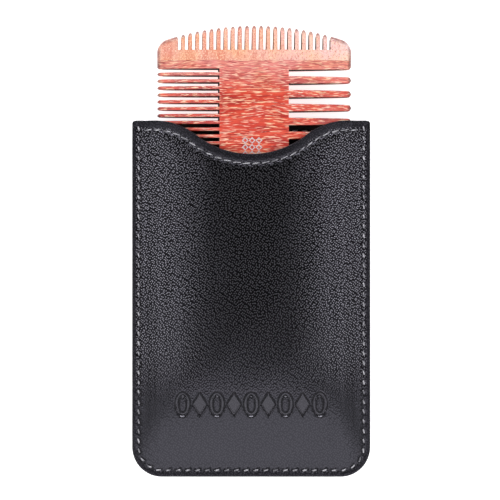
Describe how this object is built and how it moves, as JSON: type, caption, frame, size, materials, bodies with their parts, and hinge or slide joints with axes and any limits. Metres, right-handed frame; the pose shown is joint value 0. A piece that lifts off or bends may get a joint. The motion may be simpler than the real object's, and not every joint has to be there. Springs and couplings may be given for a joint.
{
  "type": "beard comb with sleeve",
  "caption": "Two-sided wooden beard comb with a toothed crown, sliding in a flat stitched leather sleeve with a thumb notch.",
  "frame": {"origin": "middle of the sleeve's flat back face, which it lies on", "axes": "+Z out of the sleeve's front panel, +Y out of its mouth towards the comb's crown, +X to the right seen from the front"},
  "size_m": [0.08, 0.1518, 0.0135],
  "materials": {
    "red_wood": "polished",
    "pale_wood": "polished",
    "leather": "semi-gloss, fine pebbled grain",
    "board": "grey card",
    "lining": "matte",
    "thread": "matte"
  },
  "bodies": {
    "sleeve": {"front_leather": "leather", "front_board": "board", "front_lining": "lining", "front_mouth_needle_thread": "thread", "front_mouth_bobbin_thread": "thread", "back_leather": "leather", "back_board": "board", "back_lining": "lining", "back_mouth_needle_thread": "thread", "back_mouth_bobbin_thread": "thread", "side_seam_needle_thread": "thread", "side_seam_bobbin_thread": "thread"},
    "comb": {"comb_body": "red_wood", "comb_crown": "pale_wood"}
  },
  "joints": [
    {"name": "comb_slide", "type": "slide", "parent": "sleeve", "child": "comb", "axis": [0, 1, 0], "range_m": [-0.034, 0.076]}
  ]
}
